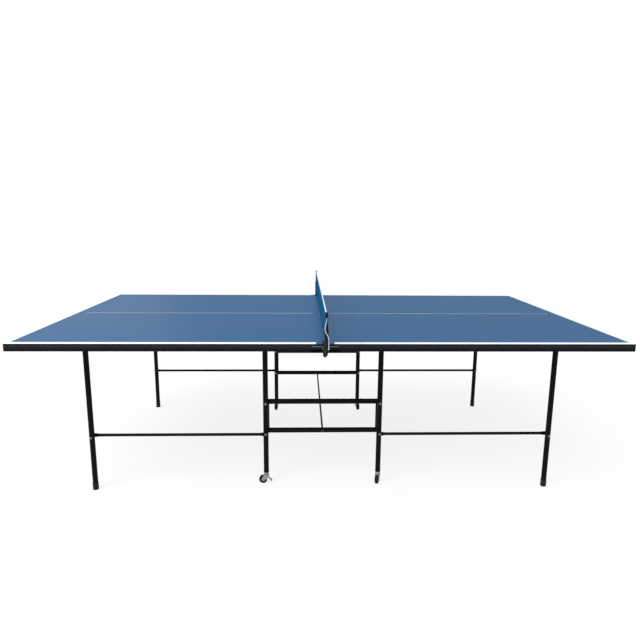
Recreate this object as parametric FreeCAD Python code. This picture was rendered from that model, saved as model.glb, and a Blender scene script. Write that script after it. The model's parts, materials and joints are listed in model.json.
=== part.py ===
# Folding table-tennis table on a wheeled centre carriage, with a lift-off net.
# Millimetres. The origin is on the floor at the centre, +X along the length, +Z up.
# "front" is the -Y side, "rear" +Y, "left" -X and "right" +X.
import FreeCAD
import Part
import math
import os
from FreeCAD import Vector

# Playing top
table_length = 2740.0
table_width = 1525.0
table_height = 760.0
board_thickness = 15.0
joint_gap = 5.0
board_lip = 9.0

# Steel apron under the edge of the top
apron_drop = 37.0
apron_wall = 1.5
apron_top_flange = 20.0
apron_foot_flange = 15.0
step_reach = 58.0
step_rise = 10.0
ledge_drop = 14.0
ledge_height = 2.0
ledge_proud = 1.5

# Notch in the inner corners of both halves, where the net clamp hangs
notch_reach = 11.0
notch_depth = 37.5

# Shallow channels that stiffen the board from below
rail_width = 25.0
rail_depth = 14.0
rail_wall = 1.5
rail_end_margin = 24.0
inner_rail_inset = 12.5
inner_rail_notch_gap = 1.0
middle_rail_x = 685.0
end_rail_inset = 80.0

# Tubes
tube_radius = 12.5
tube_wall = 1.5
rod_radius = 7.0
tie_rod_radius = 4.75

# Places of the legs and frames
pivot_drop = 44.0
inner_leg_x = 276.0
inner_leg_y = 541.0
outer_leg_inset = 277.0
outer_leg_y = 593.0
upper_bar_z = 414.0
lower_bar_z = 266.0
upright_inset = 4.0
bar_end_past_leg = 7.0
rod_side_gap = 9.0
tube_stack_gap = 0.2
weld_gap = 0.05

# Fasteners and fits
bolt_radius = 4.0
bolt_hole_clearance = 0.1
running_clearance = 0.05
open_pivot_clearance = 0.3
side_clearance = 0.3
head_radius = 7.0
head_height = 4.5
nut_height = 6.0
spacer_radius = 6.0
eye_thickness = 4.0
eye_radius = 9.0
eye_flat_length = 14.0
eye_taper_length = 16.0

# Hinge blocks that carry the board on the pivot tubes
block_y = 470.0
block_length = 34.0
block_wall = 5.0
block_flange_reach = 34.0
block_flange_height = 5.0
block_screw_x = 26.0
block_screw_radius = 4.0

# Plastic plugs and feet
plug_clearance = 0.1
plug_depth = 18.0
leg_top_drop = 1.0
cap_height = 2.0
foot_wall = 1.2
foot_height = 35.0
foot_sole = 5.0

# Casters
sleeve_lip = 1.0
sleeve_flange = 5.0
sleeve_depth = 30.0
stem_radius = 4.0
wheel_radius = 20.0
wheel_width = 16.0
wheel_bevel = 2.5
wheel_trail = 16.0
axle_radius = 3.0
fork_wall = 2.0
fork_side_gap = 1.0
fork_crown_gap = 4.0
fork_plate_thickness = 2.5
fork_plate_radius = 13.0
swivel_radius = 10.5
swivel_height = 11.2
pedal_pin_x = -6.0
pedal_pin_drop = 8.0
pedal_pin_radius = 2.0
pedal_hub_radius = 4.0
pedal_tip_x = -27.0
pedal_tip_z = 13.0
pedal_plate = 3.0
pedal_tab_width = 18.0
pedal_tab_length = 9.0
caster_headings = {
    "front_left": 176.0,
    "front_right": -108.0,
    "rear_left": -98.0,
    "rear_right": -79.0,
}

# Net set
net_height = 152.5
net_post_reach = 117.5
post_radius = 5.75
post_crown = 3.5
socket_radius = 9.0
socket_height = 78.0
socket_drop = 22.0
socket_taper = 6.0
socket_tip_radius = 6.0
net_thickness = 1.2
tape_thickness = 3.2
tape_height = 13.5
net_table_gap = 2.0
net_gap = 0.3
jaw_reach = 13.0
jaw_depth = 40.5
jaw_thickness = 3.0
arm_reach = 9.0
arm_thickness = 5.0
arm_overlap = 22.5
clamp_reach = 5.5
clamp_back_gap = 3.0
clamp_back_thickness = 6.0
clamp_face_reach = 10.5
clamp_face_thickness = 2.0
clamp_throat = 49.0
clamp_jaw_thickness = 5.0
clamp_screw_radius = 3.0
clamp_screw_inset = 20.5
clamp_pad_radius = 4.5
clamp_pad_height = 4.0
clamp_pad_drop = 23.0
clamp_knob_radius = 6.5
clamp_knob_height = 11.0
clamp_knob_gap = 2.0
cord_radius = 2.0
knot_radius = 3.6
cleat_reach = 13.0
cleat_drop = 18.5
cleat_radius = 3.2
cleat_height = 7.0
cleat_web = 3.0

# Route of the loose end of the net's tension cord, from the cleat down to its knot
cord_route = [
    (0.0, -893.0, 894.0),
    (0.0, -893.0, 884.0),
    (-5.0, -894.0, 866.0),
    (-7.5, -896.0, 846.0),
    (-3.0, -898.0, 832.0),
    (5.0, -898.0, 822.0),
    (9.0, -896.0, 806.0),
    (9.5, -894.0, 788.0),
    (9.0, -893.0, 766.0),
]

# Values that follow from the ones above
half_length = table_length / 2
half_width = table_width / 2
inner_edge = joint_gap / 2
board_bottom = table_height - board_thickness
apron_top = table_height - board_lip
apron_bottom = table_height - apron_drop
pivot_z = table_height - pivot_drop
frame_y = inner_leg_y - 2 * tube_radius - tube_stack_gap
rod_y = inner_leg_y + tube_radius + rod_side_gap + rod_radius
leg_top = pivot_z + tube_radius - leg_top_drop
outer_leg_x = half_length - outer_leg_inset
inner_rail_x = inner_edge + inner_rail_inset
end_rail_x = half_length - end_rail_inset
net_post_y = half_width + net_post_reach
cleat_z = table_height + net_height - cleat_drop
hole_radius = bolt_radius + bolt_hole_clearance
thread_radius = bolt_radius + running_clearance
tube_bore = tube_radius - tube_wall
saddle_radius = tube_radius + weld_gap
foot_radius = tube_radius + plug_clearance + foot_wall
sleeve_radius = tube_radius + sleeve_lip
wheel_side = wheel_width / 2 + fork_side_gap
fork_plate_z = 2 * wheel_radius + fork_crown_gap
fork_plate_top = fork_plate_z + fork_plate_thickness
swivel_top = fork_plate_top + swivel_height
caster_height = swivel_top + side_clearance + sleeve_flange
pedal_pin_z = fork_plate_z - pedal_pin_drop
SIDES = {"left": -1, "right": 1}
ENDS = {"front": -1, "rear": 1}
X, Y, Z = Vector(1, 0, 0), Vector(0, 1, 0), Vector(0, 0, 1)


def cylinder(radius, start, end):
    return Part.makeCylinder(radius, (end - start).Length, start, end - start)


def tube(start, end):
    return cylinder(tube_radius, start, end).cut(cylinder(tube_bore, start, end))


def block(x_range, y_range, z_range):
    low = Vector(min(x_range), min(y_range), min(z_range))
    return Part.makeBox(
        abs(x_range[1] - x_range[0]),
        abs(y_range[1] - y_range[0]),
        abs(z_range[1] - z_range[0]),
        low,
    )


def prism(points, depth):
    outline = Part.makePolygon(points + [points[0]])
    return Part.Face(outline).extrude(depth)


def hexagon(radius, start, depth):
    # A six-sided nut or bolt head along Y, with its corners at the given radius.
    points = []
    for corner in range(6):
        turn = math.radians(60 * corner + 30)
        points.append(start + X * (radius * math.cos(turn)) + Z * (radius * math.sin(turn)))
    return prism(points, Y * depth)


def fuse(shapes):
    return shapes[0].fuse(shapes[1:]).removeSplitter()


def save(name, *solids):
    shape = solids[0] if len(solids) == 1 else Part.makeCompound(list(solids))
    shape.exportStep(f"parts/{name}.step")


def make_board(side):
    sx = SIDES[side]
    full = block((sx * inner_edge, sx * half_length), (-half_width, half_width),
                 (board_bottom, table_height))
    rebate_outer = block((sx * inner_edge, sx * half_length), (-half_width, half_width),
                         (board_bottom, apron_top))
    rebate_inner = block(
        (sx * inner_edge, sx * (half_length - apron_wall)),
        (-half_width + apron_wall, half_width - apron_wall),
        (board_bottom, apron_top),
    )
    board = full.cut(rebate_outer.cut(rebate_inner))
    for sy in ENDS.values():
        board = board.cut(clamp_notch(sx, sy))
    save(f"board_{side}", board)


def clamp_notch(sx, sy):
    return block(
        (0, sx * notch_reach),
        (sy * (half_width - notch_depth), sy * (half_width + ledge_proud + 1)),
        (apron_bottom - 1, table_height + 1),
    )


def make_side_apron(side, end):
    sx, sy = SIDES[side], ENDS[end]
    outer = sy * half_width
    inside = sy * (half_width - apron_wall)
    x_range = (sx * inner_edge, sx * half_length)
    flange_range = (sx * inner_edge, sx * (half_length - apron_wall))
    wall = block(x_range, (outer, inside), (apron_bottom, apron_top))
    upper = block(flange_range, (inside, outer - sy * apron_top_flange),
                  (board_bottom - apron_wall, board_bottom))
    lower = block(flange_range, (inside, outer - sy * apron_foot_flange),
                  (apron_bottom, apron_bottom + apron_wall))
    step_top = apron_bottom + step_rise
    step_end = step_reach + step_rise
    step = prism(
        [
            Vector(0, outer + sy, apron_bottom - 1),
            Vector(sx * (step_end + 1), outer + sy, apron_bottom - 1),
            Vector(sx * step_reach, outer + sy, step_top),
            Vector(0, outer + sy, step_top),
        ],
        Y * (-sy * (apron_foot_flange + 2)),
    )
    ledge_top = table_height - ledge_drop
    ledge = block((sx * inner_edge, sx * step_reach), (outer, outer + sy * ledge_proud),
                  (ledge_top - ledge_height, ledge_top))
    apron = fuse([wall, upper, lower]).cut(step)
    apron = fuse([apron, ledge]).cut(clamp_notch(sx, sy))
    save(f"apron_{end}_{side}", apron)


def make_end_apron(side):
    sx = SIDES[side]
    outer = sx * half_length
    inside = sx * (half_length - apron_wall)
    wall_y = half_width - apron_wall
    flange_y = half_width - apron_top_flange
    wall = block((outer, inside), (-wall_y, wall_y), (apron_bottom, apron_top))
    upper = block((inside, outer - sx * apron_top_flange), (-flange_y, flange_y),
                  (board_bottom - apron_wall, board_bottom))
    lower = block((inside, outer - sx * apron_foot_flange), (-flange_y, flange_y),
                  (apron_bottom, apron_bottom + apron_wall))
    save(f"apron_end_{side}", fuse([wall, upper, lower]))


def make_rails(side):
    # Top-hat channels across the underside, open towards the board.
    # The one at the middle of the table stops short of the notches for the net clamps.
    sx = SIDES[side]
    long_reach = half_width - rail_end_margin
    short_reach = half_width - notch_depth - inner_rail_notch_gap
    rails = []
    for centre, reach in ((inner_rail_x, short_reach), (middle_rail_x, long_reach),
                          (end_rail_x, long_reach)):
        low, high = centre - rail_width / 2, centre + rail_width / 2
        outer = block((sx * low, sx * high), (-reach, reach),
                      (board_bottom - rail_depth, board_bottom))
        hollow = block((sx * (low + rail_wall), sx * (high - rail_wall)), (-reach, reach),
                       (board_bottom - rail_depth + rail_wall, board_bottom))
        rails.append(outer.cut(hollow))
    save(f"underside_rails_{side}", *rails)


def hinge_block(x, y):
    # A bearing block screwed under the board, with a running bore for the tube.
    outer_radius = tube_radius + block_wall
    y_range = (y - block_length / 2, y + block_length / 2)
    start, end = Vector(x, y_range[0], pivot_z), Vector(x, y_range[1], pivot_z)
    body = fuse([
        cylinder(outer_radius, start, end),
        block((x - outer_radius, x + outer_radius), y_range, (pivot_z, board_bottom)),
        block((x - block_flange_reach, x + block_flange_reach), y_range,
              (board_bottom - block_flange_height, board_bottom)),
    ])
    return body.cut(cylinder(tube_radius + running_clearance, start, end))


def block_screws(x, y):
    screws = []
    head_top = board_bottom - block_flange_height
    for shift in (-block_screw_x, block_screw_x):
        centre = Vector(x + shift, y, head_top)
        head = Part.makeSphere(block_screw_radius, centre)
        screws.append(head.common(Part.makeCylinder(block_screw_radius, block_screw_radius / 2,
                                                    centre, -Z)))
    return screws


def make_hinge_blocks(side):
    sx = SIDES[side]
    solids = []
    for leg_x in (inner_leg_x, outer_leg_x):
        for sy in ENDS.values():
            solids.append(hinge_block(sx * leg_x, sy * block_y))
            solids.extend(block_screws(sx * leg_x, sy * block_y))
    save(f"hinge_blocks_{side}", *solids)


def cross_bore(x, z, radius, y_range):
    return cylinder(radius, Vector(x, y_range[0], z), Vector(x, y_range[1], z))


def make_inner_leg(side, end):
    x, y = SIDES[side] * inner_leg_x, ENDS[end] * inner_leg_y
    leg = tube(Vector(x, y, caster_height), Vector(x, y, leg_top - cap_height))
    y_range = (y - tube_radius - 1, y + tube_radius + 1)
    for z in (upper_bar_z, lower_bar_z):
        leg = leg.cut(cross_bore(x, z, hole_radius, y_range))
    save(f"inner_leg_{end}_{side}", leg)


def make_outer_leg(side, end):
    x, y = SIDES[side] * outer_leg_x, ENDS[end] * outer_leg_y
    leg = tube(Vector(x, y, foot_sole), Vector(x, y, leg_top - cap_height))
    y_range = (y - tube_radius - 1, y + tube_radius + 1)
    leg = leg.cut(cross_bore(x, lower_bar_z, hole_radius, y_range))
    save(f"outer_leg_{end}_{side}", leg)


def make_bars(end):
    y = ENDS[end] * frame_y
    reach = inner_leg_x + bar_end_past_leg
    y_range = (y - tube_radius - 1, y + tube_radius + 1)
    for name, z in (("upper", upper_bar_z), ("lower", lower_bar_z)):
        bar = tube(Vector(-reach, y, z), Vector(reach, y, z))
        for sx in SIDES.values():
            bar = bar.cut(cross_bore(sx * inner_leg_x, z, hole_radius, y_range))
        if name == "lower":
            tie_hole = tie_rod_radius + bolt_hole_clearance
            bar = bar.cut(cross_bore(0, z, tie_hole, y_range))
        save(f"{name}_bar_{end}", bar)


def make_uprights():
    # Short tubes welded between the two bars of each inner frame, cut to seat on them.
    uprights = []
    reach = inner_leg_x + bar_end_past_leg
    for sy in ENDS.values():
        y = sy * frame_y
        for sx in SIDES.values():
            x = sx * (inner_leg_x - upright_inset)
            upright = tube(Vector(x, y, lower_bar_z), Vector(x, y, upper_bar_z))
            for z in (lower_bar_z, upper_bar_z):
                upright = upright.cut(
                    cylinder(saddle_radius, Vector(-reach, y, z), Vector(reach, y, z)))
                bolt_x = sx * inner_leg_x
                y_range = (y - tube_radius - 1, y + tube_radius + 1)
                upright = upright.cut(cross_bore(bolt_x, z, hole_radius, y_range))
            uprights.append(upright)
    save("frame_uprights", *uprights)


def pivot_tube(x, leg_y):
    cross = tube(Vector(x, -leg_y, pivot_z), Vector(x, leg_y, pivot_z))
    for sy in ENDS.values():
        leg = cylinder(saddle_radius, Vector(x, sy * leg_y, pivot_z - 2 * tube_radius),
                       Vector(x, sy * leg_y, pivot_z + 2 * tube_radius))
        cross = cross.cut(leg)
    middle = [solid for solid in cross.Solids if solid.BoundBox.YLength > leg_y]
    return middle[0]


def make_tie_rod():
    reach = frame_y + tube_radius + nut_height + 2
    save("tie_rod", cylinder(tie_rod_radius, Vector(0, -reach, lower_bar_z),
                             Vector(0, reach, lower_bar_z)))


def carriage_bolt(sx, sy, z, outboard_y):
    # A bolt along Y: head outboard, nut inboard of the frame bar.
    x = sx * inner_leg_x
    inboard_y = frame_y - tube_radius
    nut_end = inboard_y - nut_height - 1
    shank = cylinder(bolt_radius, Vector(x, sy * nut_end, z), Vector(x, sy * outboard_y, z))
    head = hexagon(head_radius, Vector(x, sy * outboard_y, z), sy * head_height)
    nut_start = Vector(x, sy * inboard_y, z)
    nut = hexagon(head_radius, nut_start, -sy * nut_height)
    nut = nut.cut(cylinder(thread_radius, nut_start, Vector(x, sy * nut_end, z)))
    return [fuse([shank, head]), nut]


def make_carriage_bolts():
    solids = []
    leg_face = inner_leg_y + tube_radius
    eye_inner = rod_y - eye_thickness / 2 - side_clearance
    eye_outer = rod_y + eye_thickness / 2 + side_clearance
    for sx in SIDES.values():
        for sy in ENDS.values():
            x = sx * inner_leg_x
            solids += carriage_bolt(sx, sy, upper_bar_z, leg_face)
            solids += carriage_bolt(sx, sy, lower_bar_z, eye_outer)
            spacer_ends = (Vector(x, sy * leg_face, lower_bar_z),
                           Vector(x, sy * eye_inner, lower_bar_z))
            spacer = cylinder(spacer_radius, *spacer_ends)
            solids.append(spacer.cut(cylinder(hole_radius, *spacer_ends)))
    for sy in ENDS.values():
        start = Vector(0, sy * (frame_y + tube_radius), lower_bar_z)
        nut = hexagon(head_radius, start, sy * nut_height)
        thread = cylinder(tie_rod_radius + running_clearance, start,
                          start + Y * (sy * nut_height))
        solids.append(nut.cut(thread))
    save("carriage_bolts", *solids)


def make_outer_bolts(side):
    sx = SIDES[side]
    x = sx * outer_leg_x
    leg_outer = outer_leg_y + tube_radius
    leg_inner = outer_leg_y - tube_radius
    eye_inner = rod_y - eye_thickness / 2 - side_clearance
    eye_outer = rod_y + eye_thickness / 2 + side_clearance
    solids = []
    for sy in ENDS.values():
        tip = Vector(x, sy * (eye_inner - nut_height), lower_bar_z)
        head_seat = Vector(x, sy * leg_outer, lower_bar_z)
        shank = cylinder(bolt_radius, tip, head_seat)
        solids.append(fuse([shank, hexagon(head_radius, head_seat, sy * head_height)]))
        nut_seat = Vector(x, sy * eye_inner, lower_bar_z)
        nut = hexagon(head_radius, nut_seat, -sy * nut_height)
        solids.append(nut.cut(cylinder(thread_radius, tip, nut_seat)))
        spacer_ends = (Vector(x, sy * eye_outer, lower_bar_z),
                       Vector(x, sy * leg_inner, lower_bar_z))
        spacer = cylinder(spacer_radius, *spacer_ends)
        solids.append(spacer.cut(cylinder(hole_radius, *spacer_ends)))
    save(f"outer_rod_bolts_{side}", *solids)


def top_plug(x, y):
    seat = leg_top - cap_height
    flange = cylinder(tube_radius, Vector(x, y, seat), Vector(x, y, leg_top))
    body = cylinder(tube_bore - plug_clearance, Vector(x, y, seat - plug_depth),
                    Vector(x, y, seat))
    return fuse([flange, body])


def caster_sleeve(x, y):
    flange_base = caster_height - sleeve_flange
    top = caster_height + sleeve_depth
    flange = cylinder(sleeve_radius, Vector(x, y, flange_base), Vector(x, y, caster_height))
    body = cylinder(tube_bore - plug_clearance, Vector(x, y, caster_height), Vector(x, y, top))
    bore = cylinder(stem_radius + running_clearance, Vector(x, y, flange_base),
                    Vector(x, y, top))
    return fuse([flange, body]).cut(bore)


def foot_cap(x, y):
    cap = cylinder(foot_radius, Vector(x, y, 0), Vector(x, y, foot_height))
    bore = cylinder(tube_radius + plug_clearance, Vector(x, y, foot_sole),
                    Vector(x, y, foot_height))
    return cap.cut(bore)


def make_plugs():
    inner = []
    for sx in SIDES.values():
        for sy in ENDS.values():
            x, y = sx * inner_leg_x, sy * inner_leg_y
            inner.append(top_plug(x, y))
            inner.append(caster_sleeve(x, y))
    save("inner_leg_plugs", *inner)
    for side, sx in SIDES.items():
        caps = []
        for sy in ENDS.values():
            x, y = sx * outer_leg_x, sy * outer_leg_y
            caps.append(top_plug(x, y))
            caps.append(foot_cap(x, y))
        save(f"outer_leg_caps_{side}", *caps)


def rod_end(pivot, inward, eye_bore):
    # The tube's end squeezed flat from a round section into a flat eye.
    round_centre = pivot + inward * (eye_flat_length + eye_taper_length)
    flat_centre = pivot + inward * eye_flat_length
    round_wire = Part.Wire(Part.Circle(round_centre, X, rod_radius).toShape())
    flat_ellipse = Part.Ellipse(flat_centre + Z * eye_radius,
                                flat_centre + Y * (eye_thickness / 2), flat_centre)
    flat_wire = Part.Wire(flat_ellipse.toShape())
    taper = Part.makeLoft([flat_wire, round_wire], True)
    half = Y * (eye_thickness / 2)
    eye = cylinder(eye_radius, pivot - half, pivot + half)
    tab = block((pivot.x, flat_centre.x), (pivot.y - half.y, pivot.y + half.y),
                (pivot.z - eye_radius, pivot.z + eye_radius))
    bore = cylinder(eye_bore, pivot - half * 2, pivot + half * 2)
    return [eye.fuse(tab).cut(bore), taper]


def make_rod(side, end):
    sx, y = SIDES[side], ENDS[end] * rod_y
    inner = Vector(sx * inner_leg_x, y, lower_bar_z)
    outer = Vector(sx * outer_leg_x, y, lower_bar_z)
    end_length = eye_flat_length + eye_taper_length
    shaft = cylinder(rod_radius, inner + X * (sx * end_length), outer - X * (sx * end_length))
    pieces = rod_end(inner, X * sx, bolt_radius + running_clearance)
    pieces += rod_end(outer, X * -sx, bolt_radius + open_pivot_clearance)
    save(f"connecting_rod_{end}_{side}", fuse([shaft] + pieces))


def turned(shape, x, y, heading):
    # Turns a caster piece from its own frame, wheel trailing along +X, to its place.
    placed = shape.copy()
    placed.rotate(Vector(0, 0, 0), Z, heading)
    placed.translate(Vector(x, y, 0))
    return placed


def caster_fork():
    outer_side = wheel_side + fork_wall
    cheek_outline = [
        (-fork_plate_radius + 1, fork_plate_z),
        (fork_plate_radius - 1, fork_plate_z),
        (wheel_trail + 6, wheel_radius + 5),
        (wheel_trail + 6, wheel_radius - 4),
        (wheel_trail + 2, wheel_radius - 7),
        (wheel_trail - 5, wheel_radius - 6),
        (-fork_plate_radius + 2, wheel_radius + 11),
    ]
    pieces = [
        cylinder(fork_plate_radius, Z * fork_plate_z, Z * fork_plate_top),
        cylinder(swivel_radius, Z * fork_plate_top, Z * swivel_top),
        cylinder(stem_radius, Z * swivel_top, Z * (caster_height + sleeve_depth)),
    ]
    for sy in (-1, 1):
        base = [Vector(px, sy * wheel_side, pz) for px, pz in cheek_outline]
        pieces.append(prism(base, Y * (sy * fork_wall)))
        pieces.append(block((-fork_plate_radius + 1, fork_plate_radius - 1),
                            (0, sy * outer_side), (fork_plate_z, fork_plate_top)))
    fork = fuse(pieces)
    reach = Y * (outer_side + 1)
    axle_centre = Vector(wheel_trail, 0, wheel_radius)
    pin_centre = Vector(pedal_pin_x, 0, pedal_pin_z)
    for centre, radius in ((axle_centre, axle_radius), (pin_centre, pedal_pin_radius)):
        hole = radius + bolt_hole_clearance
        fork = fork.cut(cylinder(hole, centre - reach, centre + reach))
    rivets = [rivet(axle_centre, axle_radius, outer_side),
              rivet(pin_centre, pedal_pin_radius, outer_side)]
    return [fork] + rivets


def rivet(centre, radius, side):
    seat, head_end = Y * side, Y * (side + 1.5)
    return fuse([
        cylinder(radius, centre - seat, centre + seat),
        cylinder(radius + 1.8, centre + seat, centre + head_end),
        cylinder(radius + 1.8, centre - head_end, centre - seat),
    ])


def caster_wheel():
    half = wheel_width / 2
    profile = [
        Vector(axle_radius + running_clearance, 0, -half),
        Vector(wheel_radius - wheel_bevel - 4, 0, -half),
        Vector(wheel_radius - wheel_bevel - 3, 0, -half + 1),
        Vector(wheel_radius - wheel_bevel, 0, -half),
        Vector(wheel_radius, 0, -half + wheel_bevel),
        Vector(wheel_radius, 0, half - wheel_bevel),
        Vector(wheel_radius - wheel_bevel, 0, half),
        Vector(wheel_radius - wheel_bevel - 3, 0, half - 1),
        Vector(wheel_radius - wheel_bevel - 4, 0, half),
        Vector(axle_radius + running_clearance, 0, half),
    ]
    face = Part.Face(Part.makePolygon(profile + [profile[0]]))
    wheel = face.revolve(Vector(0, 0, 0), Z, 360)
    wheel.rotate(Vector(0, 0, 0), X, 90)
    wheel.translate(Vector(wheel_trail, 0, wheel_radius))
    return wheel


def caster_pedal():
    half = wheel_width / 2 - fork_side_gap
    hub_centre = Vector(pedal_pin_x, 0, pedal_pin_z)
    tip = Vector(pedal_tip_x, 0, pedal_tip_z)
    along = (tip - hub_centre).normalize()
    across = Vector(along.z, 0, -along.x) * (pedal_plate / 2)
    arm_end = tip - along * pedal_tab_length
    arm = prism([point + Y * half for point in (
        hub_centre + across, arm_end + across, arm_end - across, hub_centre - across,
    )], Y * (-2 * half))
    tab = prism([point + Y * (pedal_tab_width / 2) for point in (
        arm_end + across, tip + across, tip - across, arm_end - across,
    )], Y * -pedal_tab_width)
    hub = cylinder(pedal_hub_radius, hub_centre - Y * half, hub_centre + Y * half)
    bore = cylinder(pedal_pin_radius + running_clearance, hub_centre - Y * (half + 1),
                    hub_centre + Y * (half + 1))
    return fuse([hub, arm, tab]).cut(bore)


def make_casters():
    for corner, heading in caster_headings.items():
        end, side = corner.split("_")
        x, y = SIDES[side] * inner_leg_x, ENDS[end] * inner_leg_y
        fork = [turned(solid, x, y, heading) for solid in caster_fork()]
        save(f"caster_fork_{corner}", *fork)
        save(f"caster_wheel_{corner}", turned(caster_wheel(), x, y, heading))
        save(f"caster_pedal_{corner}", turned(caster_pedal(), x, y, heading))


def make_net():
    # One thin sheet with its lower corners cut back over the clamp arms and sockets.
    jaw_end = half_width - jaw_depth
    top = table_height + net_height
    low = table_height + net_table_gap
    over_arm = table_height + jaw_thickness + arm_thickness + net_gap
    over_socket = socket_top() + net_gap
    by_post = net_post_y - post_radius - net_gap
    by_socket = net_post_y - socket_radius - net_gap
    right_edge = [
        (jaw_end - net_gap, low),
        (jaw_end - net_gap, over_arm),
        (by_socket, over_arm),
        (by_socket, over_socket),
        (by_post, over_socket),
        (by_post, top - tape_height),
    ]
    points = right_edge + [(-y, z) for y, z in reversed(right_edge)]
    outline = [Vector(-net_thickness / 2, y, z) for y, z in points]
    save("net_mesh", prism(outline, X * net_thickness))
    tape = block((-tape_thickness / 2, tape_thickness / 2), (-by_post, by_post),
                 (top - tape_height, top))
    save("net_tape", tape)


def socket_top():
    return table_height + jaw_thickness + socket_height


def net_clamp(sy):
    jaw_top = table_height + jaw_thickness
    back_inner = half_width + clamp_back_gap
    back_outer = back_inner + clamp_back_thickness
    lower_top = table_height - clamp_throat
    lower_base = lower_top - clamp_jaw_thickness
    screw_y = half_width - clamp_screw_inset
    jaw = block((-jaw_reach, jaw_reach), (sy * (half_width - jaw_depth), sy * back_outer),
                (table_height, jaw_top))
    arm = block((-arm_reach, arm_reach), (sy * (half_width - arm_overlap), sy * net_post_y),
                (jaw_top, jaw_top + arm_thickness))
    back = block((-clamp_reach, clamp_reach), (sy * back_inner, sy * back_outer),
                 (lower_base, table_height))
    lower_end = screw_y - clamp_reach
    lower = block((-clamp_reach, clamp_reach), (sy * lower_end, sy * back_outer),
                  (lower_base, lower_top))
    socket_base = jaw_top - socket_drop
    taper_top = Vector(0, sy * net_post_y, socket_base + socket_taper)
    socket = cylinder(socket_radius, taper_top, Vector(0, sy * net_post_y, socket_top()))
    tip = Part.makeCone(socket_radius, socket_tip_radius, socket_taper, taper_top, -Z)
    clamp = fuse([jaw, arm, back, lower, socket, tip])
    screw_hole = cylinder(clamp_screw_radius + running_clearance,
                          Vector(0, sy * screw_y, lower_base - 1),
                          Vector(0, sy * screw_y, lower_top + 1))
    post_hole = cylinder(post_radius + plug_clearance,
                         Vector(0, sy * net_post_y, jaw_top + arm_thickness),
                         Vector(0, sy * net_post_y, socket_top() + 1))
    return clamp.cut(screw_hole).cut(post_hole)


def clamp_face(sy):
    # A flat plate on the outer side of the clamp's back, wide enough to close the notch.
    inner = half_width + clamp_back_gap + clamp_back_thickness
    base = table_height - clamp_throat - clamp_jaw_thickness
    return block((-clamp_face_reach, clamp_face_reach),
                 (sy * inner, sy * (inner + clamp_face_thickness)), (base, table_height))


def net_post(sy):
    base = table_height + jaw_thickness + arm_thickness
    top = table_height + net_height + post_crown
    y = sy * net_post_y
    post = cylinder(post_radius, Vector(0, y, base), Vector(0, y, top))
    edge = [item for item in post.Edges if abs(item.BoundBox.ZMin - top) < 0.01]
    return post.makeFillet(2.0, edge[:1])


def clamp_screw(sy):
    y = sy * (half_width - clamp_screw_inset)
    pad_base = table_height - clamp_throat + clamp_pad_drop
    knob_top = table_height - clamp_throat - clamp_jaw_thickness - clamp_knob_gap
    knob_base = knob_top - clamp_knob_height
    shank = cylinder(clamp_screw_radius, Vector(0, y, knob_base), Vector(0, y, pad_base))
    pad = cylinder(clamp_pad_radius, Vector(0, y, pad_base),
                   Vector(0, y, pad_base + clamp_pad_height))
    knob = cylinder(clamp_knob_radius, Vector(0, y, knob_base), Vector(0, y, knob_top))
    for lobe in range(6):
        turn = math.radians(60 * lobe)
        reach = clamp_knob_radius + 1.0
        groove = Vector(reach * math.cos(turn), y + reach * math.sin(turn), knob_base)
        knob = knob.cut(Part.makeCylinder(2.0, clamp_knob_height, groove, Z))
    return fuse([shank, pad, knob])


def cleat(sy):
    # A small ear on the outer side of each post, for the end of the tension cord.
    ear_y = sy * (net_post_y + cleat_reach)
    top = cleat_z + cleat_height
    ear = cylinder(cleat_radius, Vector(0, ear_y, cleat_z), Vector(0, ear_y, top))
    web = block((-cleat_web / 2, cleat_web / 2), (ear_y, sy * net_post_y), (cleat_z + 1, top - 1))
    post = cylinder(post_radius, Vector(0, sy * net_post_y, cleat_z),
                    Vector(0, sy * net_post_y, top))
    return fuse([ear, web]).cut(post)


def rounded_path(points):
    # Straight runs joined by tangent arcs, each as large as its two runs allow.
    corners = [Vector(*point) for point in points]
    edges, radii = [], []
    start = corners[0]
    for before, corner, after in zip(corners, corners[1:], corners[2:]):
        arriving, leaving = (corner - before).normalize(), (after - corner).normalize()
        turn = arriving.getAngle(leaving)
        reach = 0.45 * min((corner - before).Length, (after - corner).Length)
        radius = reach / math.tan(turn / 2)
        radii.append(radius)
        arc_start, arc_end = corner - arriving * reach, corner + leaving * reach
        bisector = (leaving - arriving).normalize()
        centre = corner + bisector * (radius / math.cos(turn / 2))
        middle = centre - bisector * radius
        edges.append(Part.LineSegment(start, arc_start).toShape())
        edges.append(Part.Arc(arc_start, middle, arc_end).toShape())
        start = arc_end
    edges.append(Part.LineSegment(start, corners[-1]).toShape())
    return Part.Wire(edges), radii


def make_cord():
    path, radii = rounded_path(cord_route)
    start, second = Vector(*cord_route[0]), Vector(*cord_route[1])
    section = Part.Wire(Part.Circle(start, second - start, cord_radius).toShape())
    cord = path.makePipeShell([section], True, False)
    expected = math.pi * cord_radius ** 2 * path.Length
    print("cord radii", [round(radius, 1) for radius in radii])
    print("cord length", round(path.Length, 1), "volume ratio", round(cord.Volume / expected, 4))
    last, previous = Vector(*cord_route[-1]), Vector(*cord_route[-2])
    along = (last - previous).normalize()
    knot = Part.makeCylinder(knot_radius, 2 * knot_radius, last, along)
    rims = [item for item in knot.Edges if isinstance(item.Curve, Part.Circle)]
    save("net_cord_tail", Part.Solid(cord), knot.makeFillet(knot_radius * 0.45, rims))


def make_net_set():
    make_net()
    save("net_posts", *[make(sy) for make in (net_post, cleat) for sy in ENDS.values()])
    save("net_clamps", *[make(sy) for sy in ENDS.values() for make in (net_clamp, clamp_face)])
    for end, sy in ENDS.items():
        save(f"clamp_screw_{end}", clamp_screw(sy))
    make_cord()


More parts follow.
